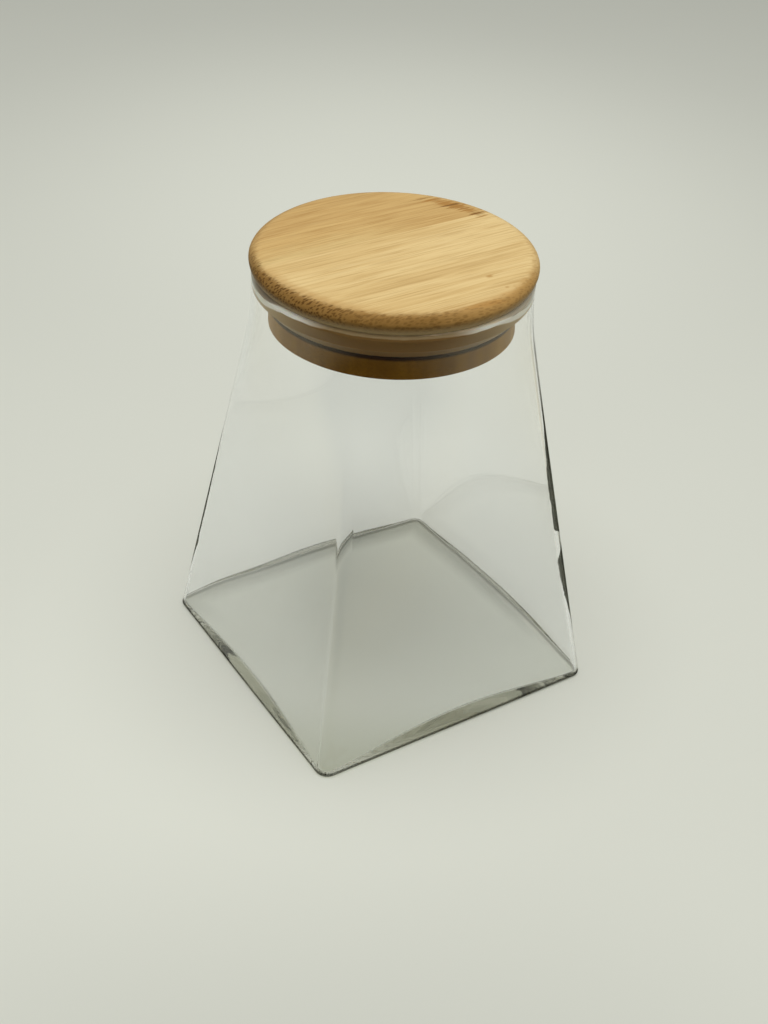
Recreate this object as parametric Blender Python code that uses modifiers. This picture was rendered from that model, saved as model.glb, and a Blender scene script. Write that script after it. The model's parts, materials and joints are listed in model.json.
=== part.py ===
"""Glass storage jar with a turned bamboo lid.

The jar is one blown piece of glass: a square foot with four sloping walls
that run into a round neck. The lid is a disc turned from edge-glued bamboo
strips, with a turned plug glued under it. A silicone ring sits in the groove
between them and seals against the neck.

Units are metres, +Z is up, and the origin is the middle of the foot on the
table. The foot's sides run along X and Y, and the bamboo's grain along Y.
"""
import math

import bpy
import bmesh
from mathutils import Vector

# The glass, outside.
FOOT_SIDE = 0.102
FOOT_CORNER_RADIUS = 0.0043
GLASS_HEIGHT = 0.141
NECK_RADIUS = 0.0417
NECK_LENGTH = 0.0115
SHOULDER_BLEND = 0.008
HEEL_RADIUS = 0.0010

# The glass, inside. Low down it is thick along the foot's sides and thin in
# its corners, where the blown glass was stretched furthest.
GLASS_WALL = 0.0021
SIDE_WALL = 0.0024
CORNER_WALL = 0.0012
THICK_FOOT_HEIGHT = 0.060
INNER_HEEL_SIDE = 0.0016
INNER_HEEL_CORNER = 0.0008
FLOOR_MIDDLE_THICKNESS = 0.0046
FLOOR_SIDE_THICKNESS = 0.0052
FLOOR_CORNER_THICKNESS = 0.0012

# The hollow under the foot, and the flat ring the jar stands on.
STANDING_RING_WIDTH = 0.006
UNDERSIDE_HOLLOW = 0.0006

# The lid's disc. The strips' width and place are shares of its radius.
DISC_OVERHANG = 0.0007
DISC_THICKNESS = 0.0057
DISC_TOP_ROUNDING = 0.0046
DISC_LOWER_ROUNDING = 0.0030
DISC_WIDEST_HEIGHT = 0.0035
STRIP_WIDTH_SHARE = 0.1684
STRIP_OFFSET_SHARE = 0.0361
JOINTS_EACH_SIDE = 5
AMBER_STRIPS = 5

# The plug under the disc, with the groove that holds the seal.
PLUG_GAP = 0.0029
PLUG_LENGTH = 0.0159
PLUG_EDGE_ROUNDING = 0.0007
GROOVE_DEPTH = 0.0019

# The silicone seal. Its foot's gap is the one to the neck's bore.
SEAL_HEIGHT = 0.0080
SEAL_BAND_HEIGHT = 0.0047
SEAL_FOOT_GAP = 0.0025
SEAL_EDGE_ROUNDING = 0.0004

# The clearance between pieces that meet, and how far a cutter overruns.
CLEARANCE = 0.0003
OVERRUN = 0.002

# How finely round shapes are divided.
SIDE_STEPS = 16
CORNER_STEPS = 8
RING_POINTS = 4 * (SIDE_STEPS + CORNER_STEPS)
TURN_STEPS = 80
ROUNDING_STEPS = 4
WELD_DISTANCE = 0.000001
TURN_WELD_DISTANCE = 0.00001

# Places along a surface, as shares of its length.
HOLLOW_SHARES = (0.35, 0.7, 1.0)
FLOOR_SHARES = (0.8, 0.5, 0.25)
WALL_SHARES = (0.0, 0.15, 0.3, 0.45, 0.6, 0.8, 1.0)
SHOULDER_SHARES = (0.25, 0.5, 0.75, 1.0)

# Heights that follow from the sizes above.
LOFT_TOP = GLASS_HEIGHT - NECK_LENGTH
SHOULDER_START = LOFT_TOP - SHOULDER_BLEND
SHOULDER_END = LOFT_TOP + SHOULDER_BLEND
LID_SEAT = GLASS_HEIGHT + CLEARANCE

# How far round the neck each of the foot's corners reaches: its share of the foot's outline.
FLAT_SIDE = FOOT_SIDE - 2 * FOOT_CORNER_RADIUS
CORNER_ARC = math.pi / 2 * FOOT_CORNER_RADIUS
CORNER_SWEEP = math.pi / 4 * CORNER_ARC / (CORNER_ARC + FLAT_SIDE)

# Radii and widths that follow from the neck, which the whole lid is made to fit.
BORE_RADIUS = NECK_RADIUS - GLASS_WALL
DISC_RADIUS = NECK_RADIUS + DISC_OVERHANG
STRIP_WIDTH = STRIP_WIDTH_SHARE * DISC_RADIUS
STRIP_JOINT_OFFSET = STRIP_OFFSET_SHARE * DISC_RADIUS
PLUG_RADIUS = BORE_RADIUS - PLUG_GAP
GROOVE_RADIUS = PLUG_RADIUS - GROOVE_DEPTH
SEAL_RIM_RADIUS = BORE_RADIUS - CLEARANCE
SEAL_FOOT_RADIUS = BORE_RADIUS - SEAL_FOOT_GAP

GLASS_COLOUR = (0.93, 0.95, 0.92, 1.0)
SILICONE_COLOUR = (0.62, 0.62, 0.58, 1.0)
AMBER_BAMBOO = (0.59, 0.40, 0.17, 1.0)
PALE_BAMBOO = (0.65, 0.47, 0.20, 1.0)
PLUG_BAMBOO = (0.48, 0.30, 0.13, 1.0)


def clear_scene():
    """Remove what the scene holds, such as the default cube."""
    for item in list(bpy.data.objects):
        bpy.data.objects.remove(item, do_unlink=True)


def new_collection(name):
    collection = bpy.data.collections.new(name)
    bpy.context.scene.collection.children.link(collection)
    return collection


def plain_material(name, colour, roughness):
    material = bpy.data.materials.new(name)
    material.use_nodes = True
    shader = material.node_tree.nodes["Principled BSDF"]
    shader.inputs["Base Color"].default_value = colour
    shader.inputs["Roughness"].default_value = roughness
    shader.inputs["Metallic"].default_value = 0.0
    return material


def clear_material(name, colour, roughness, refraction):
    material = plain_material(name, colour, roughness)
    shader = material.node_tree.nodes["Principled BSDF"]
    shader.inputs["Transmission Weight"].default_value = 1.0
    shader.inputs["IOR"].default_value = refraction
    return material


def add_object(name, mesh, collection, material, parent=None):
    item = bpy.data.objects.new(name, mesh)
    if material:
        mesh.materials.append(material)
    collection.objects.link(item)
    item.parent = parent
    return item


def mix(start, end, share):
    return start + (end - start) * share


def arc(centre, radii, start, end, steps):
    """Points on an elliptical arc, from the angle start to the angle end in degrees."""
    points = []
    for step in range(steps + 1):
        angle = math.radians(mix(start, end, step / steps))
        points.append((centre[0] + radii[0] * math.cos(angle), centre[1] + radii[1] * math.sin(angle)))
    return points


# The glass body: a loft between a rounded square and a circle.

def foot_point(number):
    """One of the points round the foot's rounded square."""
    quarter, step = divmod(number, SIDE_STEPS + CORNER_STEPS)
    centre = FOOT_SIDE / 2 - FOOT_CORNER_RADIUS
    if step < SIDE_STEPS:
        point = Vector((FOOT_SIDE / 2, mix(-centre, centre, step / SIDE_STEPS)))
    else:
        angle = math.pi / 2 * (step - SIDE_STEPS) / CORNER_STEPS
        point = Vector((math.cos(angle), math.sin(angle))) * FOOT_CORNER_RADIUS
        point += Vector((centre, centre))
    for _ in range(quarter):
        point = Vector((-point.y, point.x))
    return point


def neck_direction(number):
    """The way from the axis to where a point of the foot arrives round the neck."""
    quarter, step = divmod(number, SIDE_STEPS + CORNER_STEPS)
    if step < SIDE_STEPS:
        angle = mix(-1, 1, step / SIDE_STEPS) * (math.pi / 4 - CORNER_SWEEP)
    else:
        angle = math.pi / 4 + mix(-1, 1, (step - SIDE_STEPS) / CORNER_STEPS) * CORNER_SWEEP
    angle += quarter * math.pi / 2
    return Vector((math.cos(angle), math.sin(angle)))


def loft_share(height):
    """How far the section has changed from the foot's square to the neck's circle."""
    if height <= SHOULDER_START:
        return height / LOFT_TOP
    if height >= SHOULDER_END:
        return 1.0
    return 1.0 - (SHOULDER_END - height) ** 2 / (4 * SHOULDER_BLEND * LOFT_TOP)


def for_each_point(value_at):
    return [value_at(number) for number in range(RING_POINTS)]


def level(value):
    return [value] * RING_POINTS


def outer_points(heights):
    """Points on the outside of the wall, each on its own straight line from foot to neck."""
    def point_at(n):
        return foot_point(n).lerp(neck_direction(n) * NECK_RADIUS, loft_share(heights[n]))
    return for_each_point(point_at)


def set_in(points, depths):
    """Move each point of a ring inwards by its own depth, square to the ring."""
    moved = []
    for number, point in enumerate(points):
        back = point - points[number - 1]
        ahead = points[(number + 1) % RING_POINTS] - point
        along = ahead * (back.length / ahead.length) + back * (ahead.length / back.length)
        along.normalize()
        moved.append(point + Vector((-along.y, along.x)) * depths[number])
    return moved


def raised(points, heights):
    return [(point.x, point.y, height) for point, height in zip(points, heights)]


def outer_ring(height, inset=0.0):
    heights = level(height)
    return raised(set_in(outer_points(heights), level(inset)), heights)


def off_corner(number):
    """0 in the foot's corners, and 1 in the middle of its sides."""
    point = foot_point(number)
    low, high = sorted((abs(point.x), abs(point.y)))
    return (1 - (low / high) ** 2) ** 2


def wall_thickness(number, height):
    """The wall's thickness: uneven round the foot, and even from THICK_FOOT_HEIGHT up."""
    at_foot = mix(CORNER_WALL, SIDE_WALL, off_corner(number))
    share = min(height / THICK_FOOT_HEIGHT, 1.0)
    return mix(at_foot, GLASS_WALL, share * share * (3 - 2 * share))


def inner_ring(heights, insets):
    depths = for_each_point(lambda n: wall_thickness(n, heights[n]) + insets[n])
    return raised(set_in(outer_points(heights), depths), heights)


def floor_edge(number):
    """Height of the inner floor where it meets the wall: arched between thin corners."""
    return mix(FLOOR_CORNER_THICKNESS, FLOOR_SIDE_THICKNESS, off_corner(number))


def inner_heel(number):
    """The radius between the wall and the inner floor."""
    return mix(INNER_HEEL_CORNER, INNER_HEEL_SIDE, off_corner(number))


def underside_rings():
    """The shallow hollow under the foot, out to the flat standing ring."""
    edge = 1 - STANDING_RING_WIDTH / (FOOT_SIDE / 2 - HEEL_RADIUS)
    flat = outer_ring(0.0, HEEL_RADIUS)
    rings = []
    for share in HOLLOW_SHARES:
        lift = UNDERSIDE_HOLLOW * (1 - share ** 2)
        rings.append([(x * edge * share, y * edge * share, lift) for x, y, _ in flat])
    return rings


def heel_rings():
    """The rounding from the standing ring up to the wall."""
    outline = arc((0.0, HEEL_RADIUS), (HEEL_RADIUS, HEEL_RADIUS), -90, 0, ROUNDING_STEPS)
    return [outer_ring(z, HEEL_RADIUS - x) for x, z in outline]


def outer_wall_rings():
    heights = [mix(HEEL_RADIUS, SHOULDER_START, share) for share in WALL_SHARES[1:]]
    heights += [mix(SHOULDER_START, SHOULDER_END, share) for share in SHOULDER_SHARES]
    return [outer_ring(z) for z in heights]


def lip_rings():
    """The fire-polished rim: half a round over the wall's thickness."""
    radius = GLASS_WALL / 2
    centre = (NECK_RADIUS - radius, GLASS_HEIGHT - radius)
    outline = arc(centre, (radius, radius), 0, 180, 2 * ROUNDING_STEPS)
    ways = for_each_point(neck_direction)
    return [[(way.x * distance, way.y * distance, z) for way in ways] for distance, z in outline]


def inner_wall_rings():
    heights = [mix(SHOULDER_START, SHOULDER_END, share) for share in reversed(SHOULDER_SHARES)]
    rings = [inner_ring(level(z), level(0.0)) for z in heights]
    lowest = for_each_point(lambda n: floor_edge(n) + inner_heel(n))
    for share in reversed(WALL_SHARES):
        rings.append(inner_ring([mix(z, SHOULDER_START, share) for z in lowest], level(0.0)))
    return rings


def fillet(number):
    """The rounding between the wall and the floor at one point of the ring."""
    radius = inner_heel(number)
    return arc((0.0, radius), (radius, radius), 0, -90, ROUNDING_STEPS)


def floor_rings():
    """The fillet inside the foot, then the floor in to its middle."""
    fillets = for_each_point(fillet)
    rings = []
    for step in range(1, ROUNDING_STEPS + 1):
        heights = for_each_point(lambda n: floor_edge(n) + fillets[n][step][1])
        insets = for_each_point(lambda n: inner_heel(n) - fillets[n][step][0])
        rings.append(inner_ring(heights, insets))
    edge = rings[-1]
    for share in FLOOR_SHARES:
        rings.append([(x * share, y * share, mix(FLOOR_MIDDLE_THICKNESS, z, share ** 2)) for x, y, z in edge])
    return rings


def loft(rings, first_middle, last_middle):
    """Skin a list of rings, and close both ends with a fan round a middle point."""
    shape = bmesh.new()
    made = [[shape.verts.new(point) for point in points] for points in rings]
    for lower, upper in zip(made, made[1:]):
        for k in range(RING_POINTS):
            following = (k + 1) % RING_POINTS
            shape.faces.new((lower[k], lower[following], upper[following], upper[k]))
    for points, middle in ((made[0], first_middle), (made[-1], last_middle)):
        hub = shape.verts.new(middle)
        for k in range(RING_POINTS):
            shape.faces.new((hub, points[k], points[(k + 1) % RING_POINTS]))
    bmesh.ops.remove_doubles(shape, verts=shape.verts, dist=WELD_DISTANCE)
    bmesh.ops.recalc_face_normals(shape, faces=shape.faces)
    mesh = bpy.data.meshes.new("loft")
    shape.to_mesh(mesh)
    shape.free()
    return mesh


def shade_round(mesh, sharp_angle):
    mesh.shade_smooth()
    mesh.set_sharp_from_angle(angle=math.radians(sharp_angle))


def make_glass_body(collection):
    rings = underside_rings() + heel_rings() + outer_wall_rings()
    rings += lip_rings() + inner_wall_rings() + floor_rings()
    mesh = loft(rings, (0, 0, UNDERSIDE_HOLLOW), (0, 0, FLOOR_MIDDLE_THICKNESS))
    shade_round(mesh, 60)
    glass = clear_material("clear_glass", GLASS_COLOUR, 0.0, 1.47)
    return add_object("glass_body", mesh, collection, glass)


# The lid: turned shapes, measured from the disc's underside.

def profile_mesh(name, outline, closed):
    edges = [(k, k + 1) for k in range(len(outline) - 1)]
    if closed:
        edges.append((len(outline) - 1, 0))
    mesh = bpy.data.meshes.new(name)
    mesh.from_pydata([(x, 0.0, z) for x, z in outline], edges, [])
    return mesh


def turn(item):
    """Turn an object's profile once round the Z axis."""
    screw = item.modifiers.new("turned", "SCREW")
    screw.axis = "Z"
    screw.angle = 2 * math.pi
    screw.steps = TURN_STEPS
    screw.render_steps = TURN_STEPS
    screw.use_merge_vertices = True
    screw.merge_threshold = TURN_WELD_DISTANCE
    screw.use_smooth_shade = True


def disc_outline():
    """The disc's half section: a flat top, a full rounded edge and a flat underside."""
    upper = arc((DISC_RADIUS - DISC_TOP_ROUNDING, DISC_WIDEST_HEIGHT),
                (DISC_TOP_ROUNDING, DISC_THICKNESS - DISC_WIDEST_HEIGHT), 90, 0, ROUNDING_STEPS + 2)
    lower = arc((DISC_RADIUS - DISC_LOWER_ROUNDING, DISC_WIDEST_HEIGHT),
                (DISC_LOWER_ROUNDING, DISC_WIDEST_HEIGHT), 0, -90, ROUNDING_STEPS)
    return [(0.0, DISC_THICKNESS)] + upper + lower[1:] + [(0.0, 0.0)]


def strip_joints():
    """Where the glue lines cross X."""
    return [k * STRIP_WIDTH - STRIP_JOINT_OFFSET for k in range(-JOINTS_EACH_SIDE, JOINTS_EACH_SIDE + 1)]


def box_mesh(name, low, high):
    shape = bmesh.new()
    made = bmesh.ops.create_cube(shape, size=1.0)
    for vert in made["verts"]:
        vert.co = [high[k] if vert.co[k] > 0 else low[k] for k in range(3)]
    mesh = bpy.data.meshes.new(name)
    shape.to_mesh(mesh)
    shape.free()
    return mesh


def make_strips(collection, cutters, parent):
    """Cut the turned disc into the strips that it was glued up from."""
    outer = DISC_RADIUS + OVERRUN
    edges = [-outer] + strip_joints() + [outer]
    for number, (left, right) in enumerate(zip(edges, edges[1:]), start=1):
        name = f"lid_strip_{number:02d}"
        colour = AMBER_BAMBOO if number <= AMBER_STRIPS else PALE_BAMBOO
        material = plain_material(name + "_bamboo", colour, 0.5)
        strip = add_object(name, profile_mesh(name, disc_outline(), False), collection, material, parent)
        turn(strip)
        box = box_mesh(name + "_cut", (left, -outer, -OVERRUN), (right, outer, DISC_THICKNESS + OVERRUN))
        cutter = add_object(name + "_cut", box, cutters, None, parent)
        cutter.hide_render = True
        cutter.display_type = "WIRE"
        cut = strip.modifiers.new("strip", "BOOLEAN")
        cut.operation = "INTERSECT"
        cut.solver = "EXACT"
        cut.object = cutter


def make_plug(collection, parent):
    """The plug: a narrow groove for the seal, then the shoulder that holds it up."""
    shoulder_top = -(SEAL_HEIGHT + 2 * CLEARANCE)
    edge = arc((PLUG_RADIUS - PLUG_EDGE_ROUNDING, PLUG_EDGE_ROUNDING - PLUG_LENGTH),
               (PLUG_EDGE_ROUNDING, PLUG_EDGE_ROUNDING), 0, -90, ROUNDING_STEPS - 1)
    outline = [(0.0, 0.0), (GROOVE_RADIUS, 0.0), (GROOVE_RADIUS, shoulder_top), (PLUG_RADIUS, shoulder_top)]
    outline += edge + [(0.0, -PLUG_LENGTH)]
    material = plain_material("plug_bamboo", PLUG_BAMBOO, 0.55)
    plug = add_object("lid_plug", profile_mesh("lid_plug", outline, False), collection, material, parent)
    turn(plug)
    return plug


def seal_outline():
    """The seal's section: a band that meets the neck, and below it a taper to the plug's shoulder."""
    top = -CLEARANCE
    foot = top - SEAL_HEIGHT
    inside = GROOVE_RADIUS + CLEARANCE
    rounding = (SEAL_EDGE_ROUNDING, SEAL_EDGE_ROUNDING)
    upper_edge = arc((SEAL_RIM_RADIUS - SEAL_EDGE_ROUNDING, top - SEAL_EDGE_ROUNDING), rounding,
                     90, 0, ROUNDING_STEPS - 1)
    lower_edge = arc((SEAL_FOOT_RADIUS - SEAL_EDGE_ROUNDING, foot + SEAL_EDGE_ROUNDING), rounding,
                     -30, -90, ROUNDING_STEPS - 1)
    return [(inside, top)] + upper_edge + [(SEAL_RIM_RADIUS, top - SEAL_BAND_HEIGHT)] + lower_edge + [(inside, foot)]


def make_seal(collection, parent):
    material = plain_material("milky_silicone", SILICONE_COLOUR, 0.35)
    mesh = profile_mesh("silicone_seal", seal_outline(), True)
    seal = add_object("silicone_seal", mesh, collection, material, parent)
    turn(seal)
    return seal


def add_axis(name, collection, height, parent=None):
    """An empty on the jar's axis that carries a moving piece."""
    axis = bpy.data.objects.new(name, None)
    axis.location = (0.0, 0.0, height)
    axis.parent = parent
    collection.objects.link(axis)
    return axis


def main():
    clear_scene()
    collection = new_collection("glass_jar")
    cutters = new_collection("cutters")
    make_glass_body(collection)
    lift = add_axis("lid_lift", collection, LID_SEAT)
    spin = add_axis("lid_turn", collection, 0.0, lift)
    make_seal(collection, lift)
    make_plug(collection, spin)
    make_strips(collection, cutters, spin)


main()
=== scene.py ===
"""The looks of the glass jar with a bamboo lid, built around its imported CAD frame.

Every piece is in metres, in the row frame: +Z up, the origin in the middle of
the foot on the table, and the bamboo's grain along Y.

In the materials, a pair of numbers says where along a height, a distance or a
pattern an effect starts and where it is full. Where two more numbers follow,
they are the values that it has at these two places.
"""
import json
import math
from types import SimpleNamespace

import bpy
import bmesh
import numpy as np
from mathutils import Matrix, Vector

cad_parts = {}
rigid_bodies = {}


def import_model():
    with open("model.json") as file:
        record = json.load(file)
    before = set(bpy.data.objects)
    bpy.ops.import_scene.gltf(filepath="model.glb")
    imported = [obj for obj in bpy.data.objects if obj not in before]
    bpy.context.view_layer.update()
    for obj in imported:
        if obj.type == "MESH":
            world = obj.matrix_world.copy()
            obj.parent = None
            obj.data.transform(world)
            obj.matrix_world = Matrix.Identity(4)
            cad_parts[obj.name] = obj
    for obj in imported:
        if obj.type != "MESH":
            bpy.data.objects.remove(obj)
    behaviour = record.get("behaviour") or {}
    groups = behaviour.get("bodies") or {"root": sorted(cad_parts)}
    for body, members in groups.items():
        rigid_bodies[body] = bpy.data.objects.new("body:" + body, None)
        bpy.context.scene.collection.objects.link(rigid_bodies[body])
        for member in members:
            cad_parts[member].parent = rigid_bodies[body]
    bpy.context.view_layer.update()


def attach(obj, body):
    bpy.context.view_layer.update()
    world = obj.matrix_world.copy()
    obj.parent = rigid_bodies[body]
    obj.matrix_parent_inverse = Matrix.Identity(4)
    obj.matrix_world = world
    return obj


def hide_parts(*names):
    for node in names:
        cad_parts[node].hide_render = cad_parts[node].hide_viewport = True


for item in list(bpy.data.objects):
    bpy.data.objects.remove(item)
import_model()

# Towards the front and the right of the view, along the table.
FRONT_WAY = (0.835, -0.550, 0.0)
RIGHT_WAY = (0.550, 0.835, 0.0)

# The glass, as the CAD has it.
FOOT_SIDE = 0.102
FOOT_CORNER_RADIUS = 0.0043
GLASS_HEIGHT = 0.141
NECK_RADIUS = 0.0417
LOFT_TOP = 0.1295
SHOULDER_BLEND = 0.008
SHOULDER_START = LOFT_TOP - SHOULDER_BLEND
SHOULDER_END = LOFT_TOP + SHOULDER_BLEND
HEEL_RADIUS = 0.0010
GLASS_WALL = 0.0021
BORE_RADIUS = NECK_RADIUS - GLASS_WALL
SIDE_WALL = 0.0024
CORNER_WALL = 0.0012
THICK_FOOT_HEIGHT = 0.060
INNER_HEEL_SIDE = 0.0016
INNER_HEEL_CORNER = 0.0008
FLOOR_MIDDLE = 0.0046
FLOOR_SIDE = 0.0052
FLOOR_CORNER = 0.0012
STANDING_RING_WIDTH = 0.006
UNDERSIDE_HOLLOW = 0.0006

# The lid and its seal, as the CAD has them.
LID_SEAT = 0.1413
DISC_RADIUS = 0.0424
DISC_THICKNESS = 0.0057
DISC_TOP_ROUNDING = 0.0046
DISC_LOWER_ROUNDING = 0.0030
DISC_WIDEST_HEIGHT = 0.0035
STRIP_WIDTH = 0.1684 * DISC_RADIUS
STRIP_OFFSET = 0.0361 * DISC_RADIUS
FIRST_JOINT, LAST_JOINT = -5, 5
AMBER_STRIPS = 5
PLUG_RADIUS = 0.0367
PLUG_LENGTH = 0.0159
PLUG_EDGE_ROUNDING = 0.0007
GROOVE_RADIUS = 0.0348
SEAL_HEIGHT = 0.0080
CLEARANCE = 0.0003

# How finely the shown pieces are divided.
SIDE_STEPS = 24
CORNER_STEPS = 40
RING_POINTS = 4 * (SIDE_STEPS + CORNER_STEPS)
HOLLOW_STEPS = 8
WALL_STEPS = 60
SHOULDER_STEPS = 12
FLOOR_STEPS = 12
ARC_STEPS = 8
DISC_TOP_STEPS = 14
DISC_LOWER_STEPS = 12
PLUG_EDGE_STEPS = 6
TURN_STEPS = 256
WELD = 0.000001

# How far round the neck each of the foot's corners reaches: its share of the foot's outline.
FLAT_SIDE = FOOT_SIDE - 2 * FOOT_CORNER_RADIUS
CORNER_ARC = math.pi / 2 * FOOT_CORNER_RADIUS
CORNER_SWEEP = math.pi / 4 * CORNER_ARC / (CORNER_ARC + FLAT_SIDE)


def mix(start, end, share):
    return start + (end - start) * share


def arc(centre, radii, start, end, steps):
    points = []
    for step in range(steps + 1):
        angle = math.radians(mix(start, end, step / steps))
        points.append((centre[0] + radii[0] * math.cos(angle), centre[1] + radii[1] * math.sin(angle)))
    return points


def brighter(colour, gain):
    return tuple(gain * part for part in colour[:3]) + (1,)


def add_to_scene(name, data):
    item = bpy.data.objects.new(name, data)
    bpy.context.scene.collection.objects.link(item)
    return item


def add_piece(name, mesh, body, material, replaced):
    piece = add_to_scene(name, mesh)
    mesh.materials.append(material)
    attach(piece, body)
    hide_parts(replaced)
    return piece


# Node helpers.

class Tree:
    """A material's or the world's nodes, made by short calls."""

    def __init__(self, tree):
        self.tree = tree
        tree.nodes.clear()

    def node(self, kind, inputs=None, **settings):
        made = self.tree.nodes.new(kind)
        for name, value in settings.items():
            setattr(made, name, value)
        for name, value in (inputs or {}).items():
            self.feed(made.inputs[name], value)
        return made

    def feed(self, socket, value):
        if isinstance(value, bpy.types.NodeSocket):
            self.tree.links.new(value, socket)
        else:
            socket.default_value = value

    def math(self, operation, first, second=0.0, third=0.0):
        return self.node("ShaderNodeMath", {0: first, 1: second, 2: third}, operation=operation).outputs[0]

    def product(self, first, *others):
        for other in others:
            first = self.math("MULTIPLY", first, other)
        return first

    def total(self, first, *others):
        for other in others:
            first = self.math("ADD", first, other)
        return first

    def rest_of(self, share):
        return self.math("SUBTRACT", 1.0, share)

    def centred(self, noise):
        """Noise that goes as far below 0 as above it."""
        return self.math("SUBTRACT", noise, 0.5)

    def ranged(self, value, low, high, to_low=0.0, to_high=1.0, kind="SMOOTHSTEP"):
        inputs = {"Value": value, "From Min": low, "From Max": high, "To Min": to_low, "To Max": to_high}
        return self.node("ShaderNodeMapRange", inputs, interpolation_type=kind).outputs[0]

    def mixed(self, share, first, second, blend="MIX"):
        made = self.node("ShaderNodeMix", {"Factor": share}, data_type="RGBA", blend_type=blend)
        for name, value in (("A", first), ("B", second)):
            self.feed([s for s in made.inputs if s.name == name and s.type == "RGBA"][0], value)
        return [s for s in made.outputs if s.type == "RGBA"][0]

    def times(self, colour, by):
        return self.mixed(1.0, colour, by, "MULTIPLY")

    def noise(self, vector, scale=1.0, detail=2.0, roughness=0.5):
        inputs = {"Vector": vector, "Scale": scale, "Detail": detail, "Roughness": roughness}
        return self.node("ShaderNodeTexNoise", inputs).outputs[0]

    def scaled(self, vector, scale, shift=(0, 0, 0)):
        made = self.node("ShaderNodeMapping", {"Vector": vector, "Scale": scale, "Location": shift})
        return made.outputs[0]

    def pattern(self, point, kind, shift=(0, 0, 0)):
        """Noise of one kind: how often it repeats each way, its detail and its roughness."""
        sizes, detail, roughness = kind
        return self.noise(self.scaled(point, sizes, shift), detail=detail, roughness=roughness)

    def split(self, vector):
        parts = self.node("ShaderNodeSeparateXYZ", {0: vector})
        return [parts.outputs[name] for name in "XYZ"]

    def vector(self, operation, first, second):
        return self.node("ShaderNodeVectorMath", {0: first, 1: second}, operation=operation).outputs[0]

    def along(self, vector, way):
        made = self.node("ShaderNodeVectorMath", {0: vector, 1: way}, operation="DOT_PRODUCT")
        return made.outputs["Value"]

    def length(self, vector):
        return self.node("ShaderNodeVectorMath", {0: vector}, operation="LENGTH").outputs["Value"]

    def output(self, shader, kind="ShaderNodeOutputMaterial"):
        return self.node(kind, {"Surface": shader})


def new_material(name):
    material = bpy.data.materials.new(name)
    material.use_nodes = True
    return material, Tree(material.node_tree)


# The glass's material. A tint colours light each time that it goes through a surface. Beside the glass's own
# slight tint, the edge and inner heel tints are painted shade, and the foot's tints are partly painted shade.
GLASS_IOR = 1.5
GLASS_TINT = (1.0, 1.0, 0.996, 1.0)
GLASS_EDGE_SHADE = (0.13, 0.13, 0.11, 1.0)
FOOT_TINT_AND_SHADE = (0.96, 0.96, 0.95, 1.0)
FOOT_EDGE_TINT_AND_SHADE = (0.94, 0.94, 0.92, 1.0)
INNER_HEEL_SHADE_COLOUR = (0.26, 0.26, 0.23, 1.0)

# The light that each surface lets straight through, which lights the table.
WALL_PASSES = (0.998, 1.0, 1.0, 1.0)
FOOT_PASSES = (0.885, 0.89, 0.865, 1.0)
HEEL_PASSES = (0.45, 0.45, 0.42, 1.0)
NEAR_PASSES = (0.77, 0.78, 0.73, 1.0)
FOOT_TO_WALL = (0.006, 0.009)
LOW_HEIGHT = (0.0016, 0.0008)
LOW_OUTERMOST = (0.0484, 0.0490)
NEAR_AHEAD = (0.030, 0.062)
NEAR_HEIGHT = (0.009, 0.006)

# The painted dark rims of the left and right corners, a painted shade: where they are, by height and by how
# far the surface turns away, and how far they reach round the corner.
CORNER_WIDTH = 0.008
RIM_LOWEST = 0.006
RIM_FACING = (0.32, 0.44)
RIM_TOP = (0.126, 0.100)
LEFT_RIM_TOP = (0.100, 0.058)
LEFT_RIM_FOOT = (0.008, 0.030)
LEFT_GROWTH, LEFT_LEAST = 0.0036, 0.0006
RIGHT_RIM_TOP = (0.122, 0.074)
RIGHT_RIM_FOOT = (0.010, 0.044)
RIGHT_GROWTH, RIGHT_LEAST = 0.0060, -0.0016
RIGHT_GAP_FOOT = (0.0470, 0.0545)
RIGHT_GAP_TOP = (0.0600, 0.0555)
RIM_END = (0.0002, -0.0002)
RIM_PATCHES = ((90, 90, 260), 3.0, 0.60)
RIM_PATCHINESS = 0.0016

# The shade of the rounding inside the foot, by how far its surface faces up. It fades in two halves,
# by the wall and by the floor, and the floor's far edges have a shade of their own.
HEEL_PATCHES = 55.0
HEEL_PATCHINESS = 0.30
HEEL_LEAVES_WALL = (0.02, 0.14)
HEEL_FADES = ((0.50, 0.12), (0.86, 0.50))
INNER_HEEL_TOP = 0.0095
INNER_HEEL_STRENGTH = 0.85
FLOOR_EDGE_OUTERMOST = (0.0385, 0.0465)
FLOOR_EDGE_UP = (0.5, 0.8)
FLOOR_EDGE_AHEAD = (0.004, -0.024, 0.0, 0.46)

# The foot, where light is thrown back and forth and a tint, partly painted shade, darkens it, and its outer
# heel, with a painted shadow line where it meets the table.
THROWN_BACK_FACING = 0.262
FOOT_TOP = (0.0085, 0.0065)
FOOT_EDGE_START = (0.0035, 0.0055)
FOOT_EDGE_END = (0.0076, 0.0066)
HEEL_TOP = (0.0019, 0.0014)
HEEL_MOST_UP = 0.5
HEEL_STRENGTH = 0.85


def glass_place(tree):
    """What the glass's nodes know of the point that a ray meets."""
    place = tree.node("ShaderNodeTexCoord")
    at = SimpleNamespace(point=place.outputs["Object"], normal=place.outputs["Normal"])
    at.x, at.y, at.z = tree.split(at.point)
    at.up = tree.split(at.normal)[2]
    at.ahead = tree.along(at.point, FRONT_WAY)
    sides = tree.math("ABSOLUTE", at.x), tree.math("ABSOLUTE", at.y)
    at.outermost = tree.math("MAXIMUM", *sides)
    at.innermost = tree.math("MINIMUM", *sides)
    at.facing = tree.node("ShaderNodeLayerWeight", {"Blend": 0.5}).outputs["Facing"]
    at.inside = tree.node("ShaderNodeNewGeometry").outputs["Backfacing"]
    at.outside = tree.rest_of(at.inside)
    return at


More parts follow.
